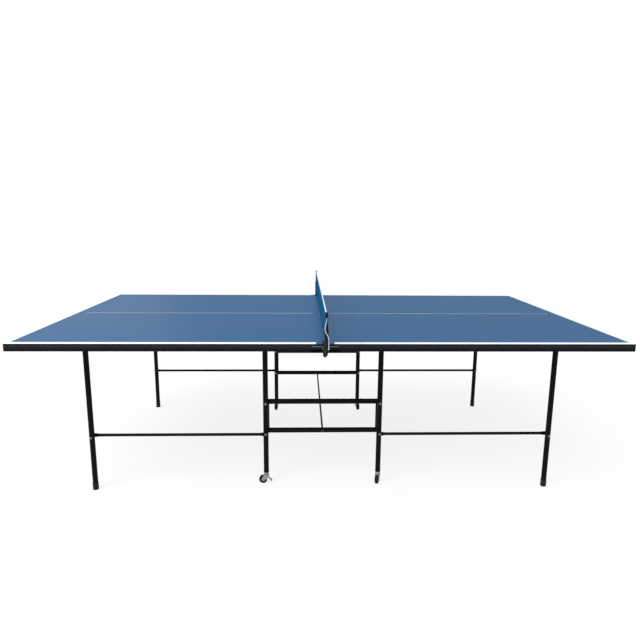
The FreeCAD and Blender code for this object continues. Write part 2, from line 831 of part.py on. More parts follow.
def main():
    os.makedirs("parts", exist_ok=True)
    for side in SIDES:
        make_board(side)
        make_end_apron(side)
        make_rails(side)
        make_hinge_blocks(side)
        make_outer_bolts(side)
        save(f"pivot_tube_{side}", pivot_tube(SIDES[side] * inner_leg_x, inner_leg_y))
        save(f"outer_cross_tube_{side}", pivot_tube(SIDES[side] * outer_leg_x, outer_leg_y))
        for end in ENDS:
            make_side_apron(side, end)
            make_inner_leg(side, end)
            make_outer_leg(side, end)
            make_rod(side, end)
    for end in ENDS:
        make_bars(end)
    make_uprights()
    make_tie_rod()
    make_carriage_bolts()
    make_plugs()
    make_casters()
    make_net_set()


main()
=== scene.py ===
# Folding ping pong table: finishes and fine pieces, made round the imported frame.
import bmesh
import bpy
import json
import math
from mathutils import Matrix, Vector


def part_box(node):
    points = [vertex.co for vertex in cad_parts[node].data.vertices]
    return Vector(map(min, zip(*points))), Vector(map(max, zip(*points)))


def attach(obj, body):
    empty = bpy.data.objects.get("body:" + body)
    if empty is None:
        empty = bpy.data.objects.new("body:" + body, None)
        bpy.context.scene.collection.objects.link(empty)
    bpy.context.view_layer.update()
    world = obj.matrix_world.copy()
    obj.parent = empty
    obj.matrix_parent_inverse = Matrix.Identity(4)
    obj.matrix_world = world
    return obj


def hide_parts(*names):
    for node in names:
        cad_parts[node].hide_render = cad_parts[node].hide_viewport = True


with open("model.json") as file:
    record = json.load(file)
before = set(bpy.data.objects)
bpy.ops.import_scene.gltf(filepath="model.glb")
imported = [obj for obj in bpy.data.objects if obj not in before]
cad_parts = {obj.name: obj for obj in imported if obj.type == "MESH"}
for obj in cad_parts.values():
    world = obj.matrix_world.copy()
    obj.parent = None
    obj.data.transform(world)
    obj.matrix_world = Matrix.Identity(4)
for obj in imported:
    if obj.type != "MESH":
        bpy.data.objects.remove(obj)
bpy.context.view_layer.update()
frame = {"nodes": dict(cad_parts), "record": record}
nodeBody = {node: body for body, nodes in frame["record"]["behaviour"]["bodies"].items()
            for node in nodes}
nodeSlot = {part["node"]: part["material_slot"] for part in frame["record"]["subparts"]}
finishes = {}  # material slot to its material, filled as they are mixed
print("frame loaded:", len(frame["nodes"]), "nodes")


# camera, at standing height beside the table

cameraSettings = {
    "place": (-0.097, -3.113, 1.297),
    "pitchDown": 11.575,
    "turn": -1.939,
    "roll": 0.482,
    "lens": 31.41,
    "sensorWidth": 36,
    "shift": (-0.0022, 0.0168),
}


def makeCamera(settings):
    pitch, turn, roll = (math.radians(settings[key]) for key in ("pitchDown", "turn", "roll"))
    ahead = Vector((-math.sin(turn) * math.cos(pitch), math.cos(turn) * math.cos(pitch),
                    -math.sin(pitch)))
    across = Vector((math.cos(turn), math.sin(turn), 0))
    up = across.cross(ahead)
    right = math.cos(roll) * across + math.sin(roll) * up
    top = math.cos(roll) * up - math.sin(roll) * across
    camera = bpy.data.objects.new("camera", bpy.data.cameras.new("camera"))
    camera.data.lens = settings["lens"]
    camera.data.sensor_width = settings["sensorWidth"]
    camera.data.shift_x, camera.data.shift_y = settings["shift"]
    camera.matrix_world = Matrix((
        (right.x, top.x, -ahead.x, settings["place"][0]),
        (right.y, top.y, -ahead.y, settings["place"][1]),
        (right.z, top.z, -ahead.z, settings["place"][2]),
        (0, 0, 0, 1),
    ))
    bpy.context.scene.collection.objects.link(camera)
    bpy.context.scene.camera = camera


# material recipes: sums on sockets are written as plain Python sums


class Signal:  # one output socket, usable in sums
    def __init__(self, recipe, socket):
        self.recipe, self.socket = recipe, socket

    def sum(self, operation, first, second):
        return self.recipe.add("ShaderNodeMath", {"operation": operation},
                               {0: first, 1: second})

    def __add__(self, other):
        return self.sum("ADD", self, other)

    def __sub__(self, other):
        return self.sum("SUBTRACT", self, other)

    def __mul__(self, other):
        return self.sum("MULTIPLY", self, other)

    def __gt__(self, other):
        return self.sum("GREATER_THAN", self, other)

    def __lt__(self, other):
        return self.sum("LESS_THAN", self, other)

    def __radd__(self, other):
        return self.sum("ADD", other, self)

    def __rsub__(self, other):
        return self.sum("SUBTRACT", other, self)

    def __rmul__(self, other):
        return self.sum("MULTIPLY", other, self)

    def size(self):
        return self.sum("ABSOLUTE", self, 0.0)

    def top(self, other):
        return self.sum("MAXIMUM", self, other)


class Recipe:  # one material and its nodes
    def __init__(self, name):
        self.material = bpy.data.materials.new(name)
        self.material.use_nodes = True
        self.tree = self.material.node_tree
        self.tree.nodes.clear()
        self.place = self.add("ShaderNodeTexCoord", output="Object")

    def add(self, kind, settings=None, inputs=None, output=0):
        node = self.tree.nodes.new(kind)
        for key, value in (settings or {}).items():
            setattr(node, key, value)
        for key, value in (inputs or {}).items():
            if isinstance(value, Signal):
                self.tree.links.new(value.socket, node.inputs[key])
            else:
                node.inputs[key].default_value = value
        return None if output is None else Signal(self, node.outputs[output])

    def axes(self):
        split = self.add("ShaderNodeSeparateXYZ", None, {0: self.place}).socket.node
        return [Signal(self, socket) for socket in split.outputs]

    def noise(self, scale, detail=3.0, place=None, roughness=0.55):
        return self.add("ShaderNodeTexNoise", None, {
            "Vector": place or self.place, "Scale": scale, "Detail": detail,
            "Roughness": roughness})

    def stretched(self, factors):
        return self.add("ShaderNodeVectorMath", {"operation": "MULTIPLY"},
                        {0: self.place, 1: factors})

    def step(self, signal, edge, soft):
        return self.add("ShaderNodeMapRange", {"interpolation_type": "SMOOTHSTEP"}, {
            "Value": signal, "From Min": edge - soft, "From Max": edge + soft})

    def mix(self, factor, first, second):
        node = self.tree.nodes.new("ShaderNodeMix")
        node.data_type = "RGBA"
        for socket, value in ((node.inputs[0], factor), (node.inputs[6], first),
                              (node.inputs[7], second)):
            if isinstance(value, Signal):
                self.tree.links.new(value.socket, socket)
            else:
                socket.default_value = value
        return Signal(self, node.outputs[2])

    def bump(self, height, strength, distance):
        return self.add("ShaderNodeBump", None, {
            "Height": height, "Strength": strength, "Distance": distance})

    def finish(self, inputs):
        shader = self.add("ShaderNodeBsdfPrincipled", None, inputs)
        self.add("ShaderNodeOutputMaterial", None, {"Surface": shader}, None)
        return self.material


lacquerSettings = {
    "blue": (0.018, 0.086, 0.205, 1),
    "paleBlue": (0.032, 0.110, 0.250, 1),
    "white": (0.80, 0.84, 0.86, 1),
    "greyedWhite": (0.62, 0.66, 0.69, 1),
    "edgeBlack": (0.008, 0.009, 0.012, 1),
    "lineWidth": 0.020,
    "centreLine": 0.0018,
    "lineStop": 0.040,
    "centreInset": 0.068,
    "edgePaint": 0.0032,
    "lineSoftness": 0.00025,
    "raggedScale": 260,
    "raggedReach": 0.0005,
    "cloudScale": 1.6,
    "grainScale": 520,
    "markCells": 7.0,
    "markSize": 0.055,
    "markPatches": 3.1,
    "wearScale": 34,
    "fineTexture": 900,
    "broadTexture": 210,
    "roughness": 0.40,
    "gloss": 0.06,
}


def boardLacquer(settings):
    recipe = Recipe("blueBoardLacquer")
    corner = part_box("board_right")[1]
    halfWidth, halfLength, top = corner.y, corner.x, corner.z
    x, y, z = recipe.axes()
    soft = settings["lineSoftness"]
    # brushed line edges are never dead straight
    ragged = (recipe.noise(settings["raggedScale"]) - 0.5) * settings["raggedReach"]
    beside = recipe.step(y.size() + ragged, halfWidth - settings["lineWidth"], soft)
    clearOfNet = recipe.step(x.size() + ragged, settings["lineStop"], soft)
    atEnd = recipe.step(x.size() + ragged, halfLength - settings["lineWidth"], soft)
    middle = 1 - recipe.step(y.size() + ragged, settings["centreLine"], soft)
    shortOfEnd = x.size() < halfLength - settings["centreInset"]
    line = (beside.top(middle * shortOfEnd) * clearOfNet).top(atEnd)
    lacquered = recipe.step(z, top - settings["edgePaint"], soft)
    cloudy = recipe.noise(settings["cloudScale"], 2)
    grain = recipe.noise(settings["grainScale"], 2)
    marks = recipe.add("ShaderNodeTexVoronoi", {"feature": "F1"}, {
        "Vector": recipe.place, "Scale": settings["markCells"], "Randomness": 1.0}, "Distance")
    patches = recipe.step(recipe.noise(settings["markPatches"]), 0.52, 0.06)
    mark = (1 - recipe.step(marks, settings["markSize"], 0.02)) * patches
    tone = cloudy * 0.55 + grain * 0.3 + mark * 0.22
    blue = recipe.mix(tone, settings["blue"], settings["paleBlue"])
    wearAndHighlight = recipe.step(recipe.noise(settings["wearScale"], 5), 0.60, 0.10)
    white = recipe.mix(wearAndHighlight * 0.5, settings["white"], settings["greyedWhite"])
    colour = recipe.mix(line, blue, white)
    colour = recipe.mix(lacquered, settings["edgeBlack"], colour)
    fine = recipe.noise(settings["fineTexture"], 3)
    broad = recipe.noise(settings["broadTexture"], 2)
    texture = fine * 0.6 + broad * 0.4 + line * 0.5
    rough = settings["roughness"] + cloudy * 0.10 + mark * 0.10 - line * 0.05
    return recipe.finish({
        "Base Color": colour, "Roughness": rough, "Specular IOR Level": settings["gloss"],
        "Normal": recipe.bump(texture, 0.28, 0.0002)})


coatSettings = {  # the height above which a painted sheen lightens the coat's upper part, 9.0 for none
    "framePaint": {"dark": (0.0010, 0.0010, 0.0010, 1), "light": (0.0035, 0.0035, 0.0034, 1),
                   "dust": (0.05, 0.05, 0.05, 1), "roughness": 0.34, "peel": 620,
                   "gloss": 0.07, "dustAbove": 9.0},
    "apronPaint": {"dark": (0.0018, 0.0019, 0.0024, 1), "light": (0.0045, 0.0047, 0.006, 1),
                   "dust": (0.10, 0.105, 0.12, 1), "roughness": 0.42, "peel": 480,
                   "gloss": 0.09, "dustAbove": 0.7385},
    "clampPaint": {"dark": (0.002, 0.0045, 0.0105, 1), "light": (0.005, 0.0105, 0.021, 1),
                   "dust": (0.06, 0.075, 0.10, 1), "roughness": 0.34, "peel": 760,
                   "gloss": 0.16, "dustAbove": 9.0},
}
coatWear = {  # noise scales that the three coats share
    "blotches": 11,
    "dust": 46,
    "scratches": 60,
    "scratchStretch": (1.0, 1.0, 14.0),
    "film": 17,
    "filmEdge": 0.006,
}
ledgeHighlightSettings = {  # the thin step on each long apron by the net, with a painted highlight line along it
    "colour": (0.235, 0.200, 0.215, 1),
    "halfLength": 0.0585,
    "height": 0.745,
    "halfHeight": 0.0016,
    "clearOfWall": 0.0003,
    "wearScale": 300,
}


def powderCoat(name, settings):
    recipe = Recipe(name)
    x, y, z = recipe.axes()
    peel = recipe.noise(settings["peel"], 2)
    # painted sheen: above a set height the coat is made lighter, standing in for light caught
    # along its upper part
    high = recipe.step(z, settings["dustAbove"], coatWear["filmEdge"])
    film = high * (0.05 + recipe.noise(coatWear["film"], 5) * 0.10)
    blotch = recipe.noise(coatWear["blotches"], 4)
    settled = recipe.step(recipe.noise(coatWear["dust"], 6, None, 0.7), 0.63, 0.09)
    drawn = recipe.stretched(coatWear["scratchStretch"])
    scratch = recipe.step(recipe.noise(coatWear["scratches"], 4, drawn), 0.70, 0.02)
    colour = recipe.mix(blotch * 0.6 + peel * 0.4, settings["dark"], settings["light"])
    # the light colour stands for settled dust and scratches, and above the set height for the
    # painted sheen
    colour = recipe.mix(settled * 0.05 + scratch * 0.04 + film, colour, settings["dust"])
    # the apron also gets a painted highlight: a thin light line at the step by the net
    if name == "apronPaint":
        colour = recipe.mix(paintedLedgeHighlight(recipe, x, y, z), colour, ledgeHighlightSettings["colour"])
    rough = settings["roughness"] + blotch * 0.12 + settled * 0.12 + scratch * 0.08
    return recipe.finish({
        "Base Color": colour, "Roughness": rough, "Specular IOR Level": settings["gloss"],
        "Normal": recipe.bump(peel * 0.8 - scratch * 0.2, 0.22, 0.00025)})


def paintedLedgeHighlight(recipe, x, y, z):
    # a painted highlight: a thin light line on the apron at the step's height, its strength varied
    # by noise
    settings = ledgeHighlightSettings
    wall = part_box("board_right")[1].y + settings["clearOfWall"]
    level = (z - settings["height"]).size() < settings["halfHeight"]
    wearAndHighlight = 0.55 + recipe.noise(settings["wearScale"], 4) * 0.6
    return level * (x.size() < settings["halfLength"]) * (y.size() > wall) * wearAndHighlight


zincSettings = {
    "zincPlate": {"bright": (0.30, 0.33, 0.36, 1), "yellowed": (0.22, 0.225, 0.21, 1),
                  "dull": (0.07, 0.08, 0.085, 1)},
    "boltPlate": {"bright": (0.17, 0.165, 0.135, 1), "yellowed": (0.15, 0.135, 0.08, 1),
                  "dull": (0.06, 0.058, 0.05, 1)},
}
zincGrain = {"spangle": 900.0, "passivated": 75, "dull": 190, "pits": 1500}


def zincPlate(name, settings):
    recipe = Recipe(name)
    spangle = recipe.add("ShaderNodeTexVoronoi", {"feature": "F1"}, {
        "Vector": recipe.place, "Scale": zincGrain["spangle"]}, "Distance")
    passivated = recipe.step(recipe.noise(zincGrain["passivated"], 4), 0.55, 0.14)
    dull = recipe.step(recipe.noise(zincGrain["dull"], 5), 0.58, 0.12)
    pits = recipe.noise(zincGrain["pits"])
    colour = recipe.mix(passivated * 0.55, settings["bright"], settings["yellowed"])
    colour = recipe.mix(dull * 0.45, colour, settings["dull"])
    return recipe.finish({
        "Base Color": colour, "Metallic": 0.92 - dull * 0.2,
        "Roughness": 0.24 + dull * 0.22 + spangle * 0.10,
        "Normal": recipe.bump(spangle * 0.5 + pits * 0.5, 0.18, 0.0001)})


rubScale = 90  # patches where plastic and rubber are rubbed smooth
mouldSettings = {
    "blackPlastic": {"dark": (0.004, 0.004, 0.0045, 1), "light": (0.012, 0.012, 0.0125, 1),
                     "roughness": 0.48, "pebble": 1300.0, "height": 0.00018, "gloss": 0.16},
    "wheelRubber": {"dark": (0.003, 0.003, 0.0035, 1), "light": (0.014, 0.014, 0.014, 1),
                    "roughness": 0.66, "pebble": 700.0, "height": 0.0003, "gloss": 0.12},
}


def moulded(name, settings):
    recipe = Recipe(name)
    pebble = recipe.add("ShaderNodeTexVoronoi", {"feature": "SMOOTH_F1"}, {
        "Vector": recipe.place, "Scale": settings["pebble"], "Smoothness": 0.6}, "Distance")
    rubbed = recipe.step(recipe.noise(rubScale, 5), 0.56, 0.12)
    colour = recipe.mix(pebble * 0.5 + rubbed * 0.5, settings["dark"], settings["light"])
    return recipe.finish({
        "Base Color": colour, "Specular IOR Level": settings["gloss"],
        "Roughness": settings["roughness"] + rubbed * 0.15 - pebble * 0.08,
        "Normal": recipe.bump(pebble, 0.35, settings["height"])})


clothGrain = {"fuzz": 2400, "soil": 21}
clothSettings = {
    "netNylon": {"dark": (0.001, 0.050, 0.135, 1), "light": (0.004, 0.125, 0.290, 1),
                 "across": 1500.0, "roughness": 0.62, "sheen": 0.02, "gloss": 0.06},
    "netTape": {"dark": (0.50, 0.64, 0.70, 1), "light": (0.76, 0.88, 0.92, 1),
                "across": 900.0, "roughness": 0.80, "sheen": 0.20, "gloss": 0.25},
    "netCord": {"dark": (0.26, 0.24, 0.30, 1), "light": (0.56, 0.53, 0.60, 1),
                "across": 420.0, "roughness": 0.74, "sheen": 0.30, "gloss": 0.25},
}


def woven(name, settings, slant):
    recipe = Recipe(name)
    strands = []
    for direction in (slant, (slant[0], -slant[1], slant[2])):
        turned = recipe.add("ShaderNodeVectorMath", {"operation": "DOT_PRODUCT"},
                            {0: recipe.place, 1: direction}, "Value")
        strands.append(recipe.add("ShaderNodeMath", {"operation": "SINE"},
                                  {0: turned * (settings["across"] * 2 * math.pi)}))
    weave = (strands[0] * strands[1]) * 0.5 + 0.5
    fuzz = recipe.noise(clothGrain["fuzz"], 2)
    soiled = recipe.noise(clothGrain["soil"], 4)
    tone = weave * 0.55 + fuzz * 0.15 + soiled * 0.30
    colour = recipe.mix(tone, settings["dark"], settings["light"])
    return recipe.finish({
        "Base Color": colour, "Roughness": settings["roughness"] + soiled * 0.1,
        "Sheen Weight": settings["sheen"], "Specular IOR Level": settings["gloss"],
        "Normal": recipe.bump(weave * 0.8 + fuzz * 0.2, 0.5, 0.0003)})


def mixFinishes():
    finishes["playing_board"] = boardLacquer(lacquerSettings)
    finishes["frame_paint"] = powderCoat("framePaint", coatSettings["framePaint"])
    finishes["apron_paint"] = powderCoat("apronPaint", coatSettings["apronPaint"])
    finishes["clamp_paint"] = powderCoat("clampPaint", coatSettings["clampPaint"])
    finishes["zinc"] = zincPlate("zincPlate", zincSettings["zincPlate"])
    finishes["bolts"] = zincPlate("boltPlate", zincSettings["boltPlate"])
    finishes["black_plastic"] = moulded("blackPlastic", mouldSettings["blackPlastic"])
    finishes["wheel_rubber"] = moulded("wheelRubber", mouldSettings["wheelRubber"])
    finishes["net_nylon"] = woven("netNylon", clothSettings["netNylon"], (0.3, 0.7, 0.7))
    finishes["net_tape"] = woven("netTape", clothSettings["netTape"], (0.0, 0.7, 0.7))
    finishes["net_cord"] = woven("netCord", clothSettings["netCord"], (0.7, 0.4, 0.6))
    print("finishes mixed:", len(finishes))


# pieces: helpers

def plainName(node):
    words = node.split("_")
    return words[0] + "".join(word.capitalize() for word in words[1:])


def addPiece(name, mesh, body, slot, replaced=()):
    piece = bpy.data.objects.new(name, mesh)
    bpy.context.scene.collection.objects.link(piece)
    if not mesh.materials:
        mesh.materials.append(finishes[slot])
    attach(piece, body)
    if replaced:
        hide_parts(*replaced)
    return piece


def bakeShape(piece):
    # The evaluated result as a plain mesh, with the working object removed.
    bpy.context.view_layer.update()
    graph = bpy.context.evaluated_depsgraph_get()
    mesh = bpy.data.meshes.new_from_object(piece.evaluated_get(graph))
    bpy.data.objects.remove(piece)
    return mesh


edgeSettings = {  # how far each finish rounds its edges, in metres
    "playing_board": 0.0009,
    "apron_paint": 0.0005,
    "clamp_paint": 0.0008,
    "zinc": 0.00035,
    "black_plastic": 0.0005,
    "wheel_rubber": 0.0006,
    "frame_paint": 0.0,
}
mergeSettings = {  # how a part's loose triangles are joined and shaded
    "mergeDistance": 2e-6,
    "flatAngle": 0.8,
    "sharpAngle": 38,
    "easedAngle": 50,
    "easeSegments": 2,
}


def finishNode(node):
    # A copy of the part's own mesh, merged, with its edges eased as paint and pressing leave them.
    slot = nodeSlot[node]
    shape = bmesh.new()
    shape.from_mesh(frame["nodes"][node].data)
    bmesh.ops.remove_doubles(shape, verts=shape.verts, dist=mergeSettings["mergeDistance"])
    bmesh.ops.dissolve_limit(shape, angle_limit=math.radians(mergeSettings["flatAngle"]),
                             verts=shape.verts, edges=shape.edges)
    mesh = bpy.data.meshes.new(plainName(node))
    shape.to_mesh(mesh)
    shape.free()
    mesh.polygons.foreach_set("use_smooth", [True] * len(mesh.polygons))
    mesh.set_sharp_from_angle(angle=math.radians(mergeSettings["sharpAngle"]))
    work = bpy.data.objects.new("work", mesh)
    bpy.context.scene.collection.objects.link(work)
    if edgeSettings[slot]:
        ease = work.modifiers.new("ease", "BEVEL")
        ease.width = edgeSettings[slot]
        ease.segments = mergeSettings["easeSegments"]
        ease.limit_method = "ANGLE"
        ease.angle_limit = math.radians(mergeSettings["easedAngle"])
        ease.use_clamp_overlap = True
        even = work.modifiers.new("even", "WEIGHTED_NORMAL")
        even.keep_sharp = False
    finished = bakeShape(work)
    finished.name = plainName(node)
    finished.materials.clear()
    finished.materials.append(finishes["bolts" if "bolts" in node else slot])
    return addPiece(plainName(node), finished, nodeBody[node], slot, [node])


def makeHardParts():
    soft = ("net_mesh", "net_tape", "net_cord_tail")
    for node in sorted(frame["nodes"]):
        if node not in soft:
            finishNode(node)
    print("hard parts finished")


# the loose end of the net's cord

cordSettings = {
    "exit": (0.0, -0.893, 0.894),
    "route": [
        (0.0, -0.893, 0.894), (0.0, -0.893, 0.884), (-0.005, -0.894, 0.866),
        (-0.0075, -0.896, 0.846), (-0.003, -0.898, 0.832), (0.005, -0.898, 0.822),
        (0.009, -0.896, 0.806), (0.0095, -0.894, 0.788), (0.009, -0.893, 0.766),
    ],
    "length": 0.1325,
    "radius": 0.0020,
    "knotRadius": 0.00198,
    "knotThickness": 0.86,
    "knotPoints": 18,
}


def makeCord(settings):
    curve = bpy.data.curves.new("netCordEnd", "CURVE")
    curve.dimensions = "3D"
    curve.bevel_depth = settings["radius"]
    curve.bevel_resolution = 4
    curve.resolution_u = 12
    curve.use_fill_caps = True
    spline = curve.splines.new("NURBS")
    spline.points.add(len(settings["route"]) - 1)
    for point, place in zip(spline.points, settings["route"]):
        point.co = (*place, 1)
    spline.order_u = 3
    spline.use_endpoint_u = True
    cord = bpy.data.objects.new("netCordEnd", curve)
    bpy.context.scene.collection.objects.link(cord)
    curve.materials.append(finishes["net_cord"])
    knot = makeKnot(settings)
    for piece in (cord, knot):
        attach(piece, "net_set")
    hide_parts("net_cord_tail")
    print("cord hung")


def makeKnot(settings):
    # An overhand knot: a short three-lobed loop of the same cord, drawn tight.
    end, before = (Vector(settings["route"][index]) for index in (-1, -2))
    along = (end - before).normalized()
    turn = along.to_track_quat("Z", "Y").to_matrix().to_4x4()
    curve = bpy.data.curves.new("knotPath", "CURVE")
    curve.dimensions = "3D"
    curve.bevel_depth = settings["radius"] * settings["knotThickness"]
    curve.bevel_resolution = 3
    curve.resolution_u = 6
    spline = curve.splines.new("NURBS")
    steps, size = settings["knotPoints"], settings["knotRadius"]
    spline.points.add(steps - 1)
    for index in range(steps):
        angle = 2 * math.pi * index / steps
        reach = size * (0.72 + 0.34 * math.cos(3 * angle))
        rise = size * (0.95 + 0.48 * math.sin(3 * angle))
        spline.points[index].co = (reach * math.cos(2 * angle), reach * math.sin(2 * angle),
                                   rise, 1)
    spline.order_u = 3
    spline.use_cyclic_u = True
    work = bpy.data.objects.new("work", curve)
    bpy.context.scene.collection.objects.link(work)
    mesh = bakeShape(work)
    mesh.transform(Matrix.Translation(end) @ turn)
    mesh.materials.clear()
    mesh.materials.append(finishes["net_cord"])
    knot = bpy.data.objects.new("netCordKnot", mesh)
    bpy.context.scene.collection.objects.link(knot)
    return knot


# the net: knotted yarn from a grid, and its folded tape with two rows of stitches

netSettings = {
    "meshSize": 0.0125,
    "yarnRadius": 0.00075,
    "knotRadius": 0.0013,
    "waver": 0.0008,
    "waverScale": 21.0,
    "seed": 4.0,
    "jawDepth": 0.0405,
    "clearOfJaw": 0.002,
    "jawHeight": 0.0075,
    "socketReach": 0.006,
    "socketHeight": 0.080,
    "stitchPitch": 0.006,
    "stitchRadius": 0.00045,
    "stitchInset": 0.0022,
    "stitchEnds": 0.012,
    "stitchShape": (0.7, 4.2, 1.0),
    "yarnShare": 0.3,
}


class Tree:  # a geometry node tree with named inputs
    def __init__(self, name):
        self.tree = bpy.data.node_groups.new(name, "GeometryNodeTree")
        self.tree.interface.new_socket("Geometry", in_out="OUTPUT",
                                       socket_type="NodeSocketGeometry")
        self.named = {}
        self.source = self.tree.nodes.new("NodeGroupInput")
        self.sink = self.tree.nodes.new("NodeGroupOutput")

    def size(self, name, kind="NodeSocketFloat"):
        item = self.tree.interface.new_socket(name, in_out="INPUT", socket_type=kind)
        self.named[name] = item.identifier
        return self.source.outputs[name]

    def add(self, kind, settings=None, inputs=None, output=0):
        node = self.tree.nodes.new(kind)
        for key, value in (settings or {}).items():
            setattr(node, key, value)
        for key, value in (inputs or {}).items():
            if isinstance(value, bpy.types.NodeSocket):
                self.tree.links.new(value, node.inputs[key])
            else:
                node.inputs[key].default_value = value
        return node.outputs[output]

    def sums(self, operation, first, second):
        return self.add("ShaderNodeMath", {"operation": operation}, {0: first, 1: second})

    def join(self, *parts):
        node = self.tree.nodes.new("GeometryNodeJoinGeometry")
        for part in parts:
            self.tree.links.new(part, node.inputs[0])
        return node.outputs[0]

    def end(self, geometry, material):
        whole = self.add("GeometryNodeRealizeInstances", None, {0: geometry})
        coated = self.add("GeometryNodeSetMaterial", None, {0: whole, "Material": material})
        self.tree.links.new(coated, self.sink.inputs[0])


def grow(name, tree, values):
    # Runs a tree on an empty mesh and returns the plain mesh that it makes.
    work = bpy.data.objects.new("work", bpy.data.meshes.new("work"))
    bpy.context.scene.collection.objects.link(work)
    modifier = work.modifiers.new(name, "NODES")
    modifier.node_group = tree.tree
    for key, value in values.items():
        modifier[tree.named[key]] = value
    mesh = bakeShape(work)
    mesh.name = name
    return mesh


def nettingTree(material):
    tree = Tree("netting")
    length, height = tree.size("Length"), tree.size("Height")
    columns, rows = tree.size("Columns", "NodeSocketInt"), tree.size("Rows", "NodeSocketInt")
    yarn, knot = tree.size("Yarn Radius"), tree.size("Knot Radius")
    waver, waverScale, seed = tree.size("Waver"), tree.size("Waver Scale"), tree.size("Seed")
    base = tree.size("Bottom")
    clampStart, clampTop = tree.size("Clamp Start"), tree.size("Clamp Top")
    socketStart, socketTop = tree.size("Socket Start"), tree.size("Socket Top")
    grid = tree.add("GeometryNodeMeshGrid", None, {
        "Size X": length, "Size Y": height, "Vertices X": columns, "Vertices Y": rows})
    upright = tree.add("GeometryNodeTransform", None, {
        "Geometry": grid, "Rotation": (math.pi / 2, 0, math.pi / 2)})
    lifted = tree.sums("ADD", base, tree.sums("MULTIPLY", height, 0.5))
    rise = tree.add("ShaderNodeCombineXYZ", None, {"Z": lifted})
    hung = tree.add("GeometryNodeSetPosition", None, {"Geometry": upright, "Offset": rise})
    place = tree.add("GeometryNodeInputPosition")
    split = tree.add("ShaderNodeSeparateXYZ", None, {0: place}).node
    along = tree.sums("ABSOLUTE", split.outputs[1], 0.0)
    hidden = []
    for start, top in ((clampStart, clampTop), (socketStart, socketTop)):
        past = tree.sums("GREATER_THAN", along, start)
        under = tree.sums("LESS_THAN", split.outputs[2], top)
        hidden.append(tree.sums("MULTIPLY", past, under))
    cut = tree.sums("MAXIMUM", *hidden)
    trimmed = tree.add("GeometryNodeDeleteGeometry", {"domain": "POINT"}, {
        "Geometry": hung, "Selection": cut})
    ripple = tree.add("ShaderNodeTexNoise", {"noise_dimensions": "4D"}, {
        "Vector": place, "W": seed, "Scale": waverScale, "Detail": 2.0}, "Color")
    centred = tree.add("ShaderNodeVectorMath", {"operation": "SUBTRACT"},
                       {0: ripple, 1: (0.5, 0.5, 0.5)})
    shift = tree.add("ShaderNodeVectorMath", {"operation": "SCALE"},
                     {0: centred, "Scale": waver})
    slack = tree.add("GeometryNodeSetPosition", None, {"Geometry": trimmed, "Offset": shift})
    lines = tree.add("GeometryNodeMeshToCurve", None, {0: slack})
    profile = tree.add("GeometryNodeCurvePrimitiveCircle", None, {
        "Resolution": 5, "Radius": yarn})
    strands = tree.add("GeometryNodeCurveToMesh", None, {
        "Curve": lines, "Profile Curve": profile, "Fill Caps": True})
    bead = tree.add("GeometryNodeMeshIcoSphere", None, {"Radius": knot, "Subdivisions": 1})
    points = tree.add("GeometryNodeMeshToPoints", None, {0: slack})
    knots = tree.add("GeometryNodeInstanceOnPoints", None, {
        "Points": points, "Instance": bead})
    tree.end(tree.join(strands, knots), material)
    return tree


def makeNetting(settings):
    low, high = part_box("net_mesh")
    width, height = high.y - low.y, high.z - low.z
    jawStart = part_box("board_left")[1].y - settings["jawDepth"]
    values = {
        "Length": width, "Height": height,
        "Columns": int(width / settings["meshSize"]) + 1,
        "Rows": int(height / settings["meshSize"]) + 1,
        "Yarn Radius": settings["yarnRadius"], "Knot Radius": settings["knotRadius"],
        "Waver": settings["waver"], "Waver Scale": settings["waverScale"],
        "Seed": settings["seed"], "Bottom": low.z,
        "Clamp Start": jawStart - settings["clearOfJaw"],
        "Clamp Top": low.z + settings["jawHeight"],
        "Socket Start": high.y - settings["socketReach"],
        "Socket Top": low.z + settings["socketHeight"],
    }
    mesh = grow("netting", nettingTree(finishes["net_nylon"]), values)
    net = addPiece("netting", mesh, "net_set", "net_nylon", ["net_mesh"])
    tape = makeTape(tapeSettings)
    stitches = makeStitches(settings)
    print("net hung:", len(mesh.polygons), "faces")


tapeSettings = {
    "foldSteps": 7,
    "sections": 146,
    "pulls": ((0.054, 1.7), (0.036, 0.61)),  # share of the thickness, waves along the sections
}


def makeTape(settings):
    # A folded band: two flat sides with a rounded fold along the top.
    low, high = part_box("net_tape")
    shape = bmesh.new()
    steps, sections = settings["foldSteps"], settings["sections"]
    half = (high.x - low.x) / 2
    outline = [(-half, low.z), (-half, high.z - half)]
    outline += [(-half * math.cos(math.pi * turn / steps),
                 high.z - half + half * math.sin(math.pi * turn / steps))
                for turn in range(1, steps)]
    outline += [(half, high.z - half), (half, low.z)]
    rings = []
    for section in range(sections + 1):
        y = low.y + (high.y - low.y) * section / sections
        pull = sum(share * math.sin(section * waves) for share, waves in settings["pulls"])
        rings.append([shape.verts.new((x * (1 - abs(pull)), y, z)) for x, z in outline])
    count = len(outline)
    for ring, following in zip(rings, rings[1:]):
        for index in range(count):
            other = (index + 1) % count
            shape.faces.new((ring[index], ring[other], following[other], following[index]))
    shape.faces.new(rings[0])
    shape.faces.new(list(reversed(rings[-1])))
    bmesh.ops.recalc_face_normals(shape, faces=shape.faces)
    mesh = bpy.data.meshes.new("netTape")
    shape.to_mesh(mesh)
    shape.free()
    mesh.polygons.foreach_set("use_smooth", [True] * len(mesh.polygons))
    mesh.set_sharp_from_angle(angle=math.radians(mergeSettings["easedAngle"]))
    return addPiece("netTape", mesh, "net_set", "net_tape", ["net_tape"])


